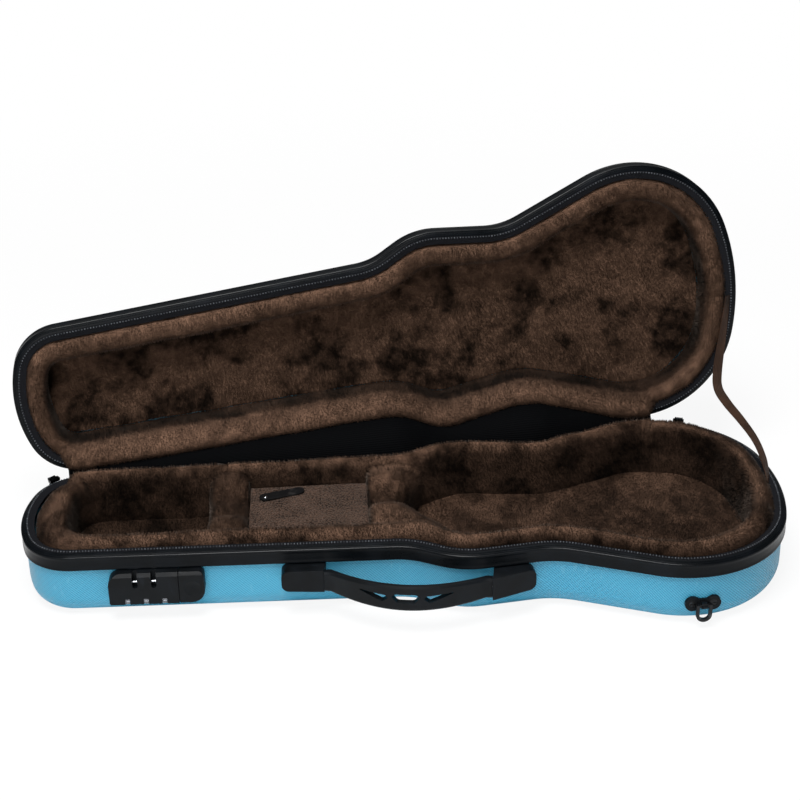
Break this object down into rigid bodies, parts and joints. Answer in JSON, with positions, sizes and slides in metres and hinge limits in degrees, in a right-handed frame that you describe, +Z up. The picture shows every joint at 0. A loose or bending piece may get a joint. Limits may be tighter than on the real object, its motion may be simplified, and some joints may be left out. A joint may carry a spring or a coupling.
{
  "type": "shaped hard case for a small string instrument",
  "caption": "Guitar-shaped zipped hard case with a plush-lined base and hinged lid, carrying handle, combination zip lock, strap ring and accessory box.",
  "frame": {"origin": "on the floor under the middle of the base's outline", "axes": "+X to the tail end, +Y to the hinge side, +Z up; the handle side faces -Y"},
  "size_m": [0.7508, 0.358, 0.3408],
  "materials": {
    "shell": "satin turquoise plastic with a fine embossed weave",
    "rim": "satin black",
    "black_plastic": "fine matt black",
    "grip": "soft-touch matt black",
    "zip": "woven black tape with moulded teeth",
    "plush": "short dark brown pile",
    "gusset": "ribbed black cloth",
    "ribbon": "brown woven ribbon",
    "tab_leather": "black leather",
    "bright_metal": "polished",
    "dial": "satin metal",
    "steel": "plain steel",
    "black_metal": "black coated"
  },
  "bodies": {
    "base": {"base_shell": "shell", "base_rim": "rim", "base_zip": "zip", "head_border": "plush", "body_border": "plush", "base_floor": "plush", "head_divider": "plush", "neck_rest": "plush", "box_ledges": "plush", "hinge_gusset": "gusset", "lid_strap": "ribbon", "lock_body": "black_plastic", "lock_plate": "steel", "lock_screws": "steel", "lock_posts": "bright_metal", "dial_axle": "steel", "handle_cap_left": "black_plastic", "handle_cap_right": "black_plastic", "handle_plates": "steel", "handle_screws": "steel", "handle_pins": "steel", "ring_plate": "black_plastic", "ring_screws": "black_metal", "zip_slider_head": "steel", "zip_slider_tail": "steel"},
    "lid": {"lid_shell": "shell", "lid_rim": "rim", "lid_zip": "zip", "lid_border": "plush", "lid_floor": "plush"},
    "grip": {"handle_grip": "grip"},
    "dial_a": {"dial_a": "dial"},
    "dial_b": {"dial_b": "dial"},
    "dial_c": {"dial_c": "dial"},
    "release": {"lock_release": "black_plastic"},
    "ring": {"strap_ring": "black_metal"},
    "box_lid": {"box_lid": "plush", "box_tab": "tab_leather", "tab_rivet": "bright_metal"},
    "pull_head": {"zip_pull_head": "steel"},
    "pull_tail": {"zip_pull_tail": "steel"}
  },
  "joints": [
    {"name": "lid_hinge", "type": "hinge", "parent": "base", "child": "lid", "pos_m": [-0.32081, 0.07624, 0.0733], "axis": [-0.9948, -0.1021, 0], "range_deg": [-97, 0], "deforming": ["hinge_gusset", "lid_strap"]},
    {"name": "handle_swing", "type": "hinge", "parent": "base", "child": "grip", "pos_m": [-0.08, -0.0896, 0.041], "axis": [0.9884, -0.1516, 0], "range_deg": [-45, 60]},
    {"name": "dial_a_turn", "type": "hinge", "parent": "base", "child": "dial_a", "pos_m": [-0.26515, -0.08223, 0.0235], "axis": [0.9998, -0.0182, 0], "continuous": true},
    {"name": "dial_b_turn", "type": "hinge", "parent": "base", "child": "dial_b", "pos_m": [-0.24775, -0.08255, 0.0235], "axis": [0.9998, -0.0182, 0], "continuous": true},
    {"name": "dial_c_turn", "type": "hinge", "parent": "base", "child": "dial_c", "pos_m": [-0.23035, -0.08286, 0.0235], "axis": [0.9998, -0.0182, 0], "continuous": true},
    {"name": "release_slide", "type": "slide", "parent": "base", "child": "release", "axis": [0.9998, -0.0182, 0], "range_m": [0, 0.005], "stiffness_N_per_m": 200},
    {"name": "ring_swing", "type": "hinge", "parent": "base", "child": "ring", "pos_m": [0.26947, -0.13784, 0.025], "axis": [-0.9976, -0.0698, 0], "range_deg": [-8, 150]},
    {"name": "box_lid_hinge", "type": "hinge", "parent": "base", "child": "box_lid", "pos_m": [-0.0346, 0.007, 0.0602], "axis": [0, 1, 0], "range_deg": [0, 90]},
    {"name": "pull_head_swing", "type": "hinge", "parent": "base", "child": "pull_head", "pos_m": [-0.34879, 0.06569, 0.0733], "axis": [0.7676, 0.6409, 0], "range_deg": [0, 100]},
    {"name": "pull_tail_swing", "type": "hinge", "parent": "base", "child": "pull_tail", "pos_m": [0.29491, 0.13145, 0.0733], "axis": [0.9503, -0.3113, 0], "range_deg": [0, 100]}
  ]
}
